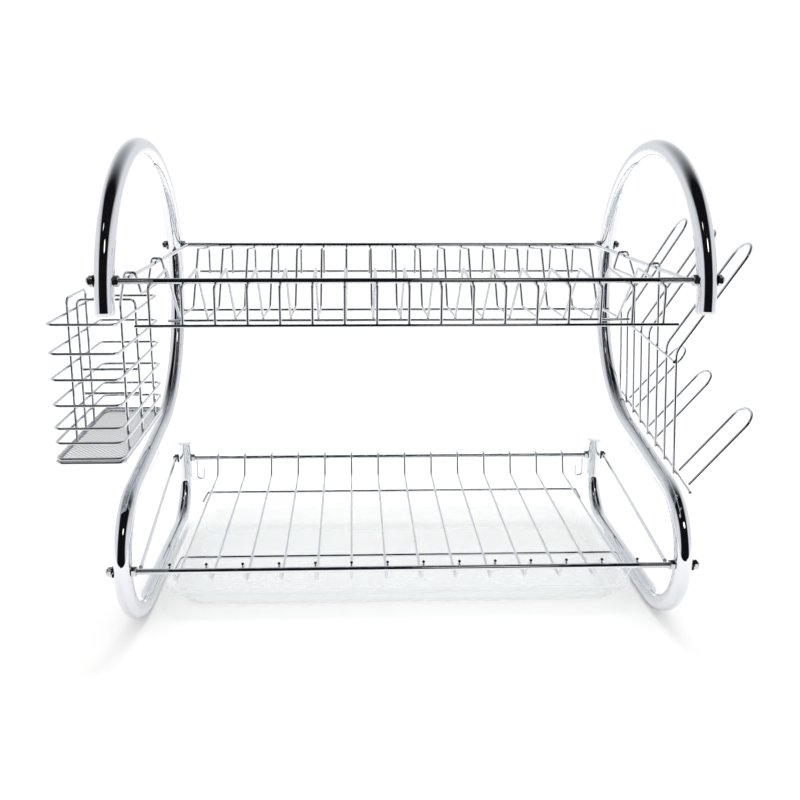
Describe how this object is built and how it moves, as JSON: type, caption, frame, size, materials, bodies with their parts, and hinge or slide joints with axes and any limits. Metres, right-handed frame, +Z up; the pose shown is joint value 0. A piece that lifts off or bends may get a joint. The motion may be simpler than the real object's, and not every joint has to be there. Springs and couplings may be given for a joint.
{
  "type": "dish drying rack",
  "caption": "Tiered chrome wire dish drying rack on S-shaped tubes, with a cutlery basket, a cup holder and a clear drip tray.",
  "frame": {"origin": "on the worktop, midway between the side tubes and midway between the front and back rails", "axes": "+X along the rack from the cutlery basket to the cup holder, +Y from front to back, +Z up"},
  "size_m": [0.523, 0.2582, 0.382],
  "materials": {
    "chrome_tube": "bright chrome plate, mirror polish",
    "chrome_rod": "bright chrome plate",
    "chrome_wire": "bright chrome plated wire, spot welded",
    "plated_fasteners": "nickel plated, slightly dull",
    "plug_plastic": "translucent moulded plastic",
    "tray_plastic": "clear moulded plastic"
  },
  "bodies": {
    "rack": {"inner_nuts": "plated_fasteners", "left_front_end_plug": "plug_plastic", "left_heel_end_plug": "plug_plastic", "left_lower_side_rail": "chrome_rod", "left_rail_hook": "chrome_wire", "left_s_tube": "chrome_tube", "left_upper_side_rail": "chrome_rod", "lower_back_rail": "chrome_rod", "lower_front_rail": "chrome_rod", "lower_long_wire_back": "chrome_wire", "lower_long_wire_front": "chrome_wire", "lower_rack_wires": "chrome_wire", "outer_cap_nuts": "plated_fasteners", "outer_washers": "plated_fasteners", "right_front_end_plug": "plug_plastic", "right_heel_end_plug": "plug_plastic", "right_lower_side_rail": "chrome_rod", "right_rail_hook": "chrome_wire", "right_s_tube": "chrome_tube", "right_upper_side_rail": "chrome_rod", "upper_back_rail": "chrome_rod", "upper_front_rail": "chrome_rod", "upper_plate_wires": "chrome_wire", "upper_skirt_wire_back": "chrome_wire", "upper_skirt_wire_front": "chrome_wire", "upper_valley_wire_back": "chrome_wire", "upper_valley_wire_front": "chrome_wire"},
    "cutlery_basket": {"cutlery_divider": "chrome_wire", "cutlery_divider_bars": "chrome_wire", "cutlery_floor_mesh": "chrome_wire", "cutlery_floor_rims": "chrome_wire", "cutlery_hook_wire": "chrome_wire", "cutlery_rings": "chrome_wire", "cutlery_side_loop": "chrome_wire"},
    "cup_holder": {"cup_arm_1": "chrome_wire", "cup_arm_2": "chrome_wire", "cup_arm_3": "chrome_wire", "cup_bottom_bar": "chrome_wire", "cup_hook_wire": "chrome_wire", "cup_middle_bar": "chrome_wire", "cup_prong_1": "chrome_wire", "cup_prong_2": "chrome_wire", "cup_prong_3": "chrome_wire"},
    "tray": {"drip_tray": "tray_plastic"}
  },
  "joints": [
    {"name": "basket_lift_off", "type": "slide", "parent": "rack", "child": "cutlery_basket", "axis": [0, 0.866, 0.5], "range_m": [0, 0.06]},
    {"name": "cup_holder_lift_off", "type": "slide", "parent": "rack", "child": "cup_holder", "axis": [0, 0, 1], "range_m": [0, 0.03]},
    {"name": "tray_pull_out", "type": "slide", "parent": "rack", "child": "tray", "axis": [0, -1, 0], "range_m": [0, 0.24]}
  ]
}
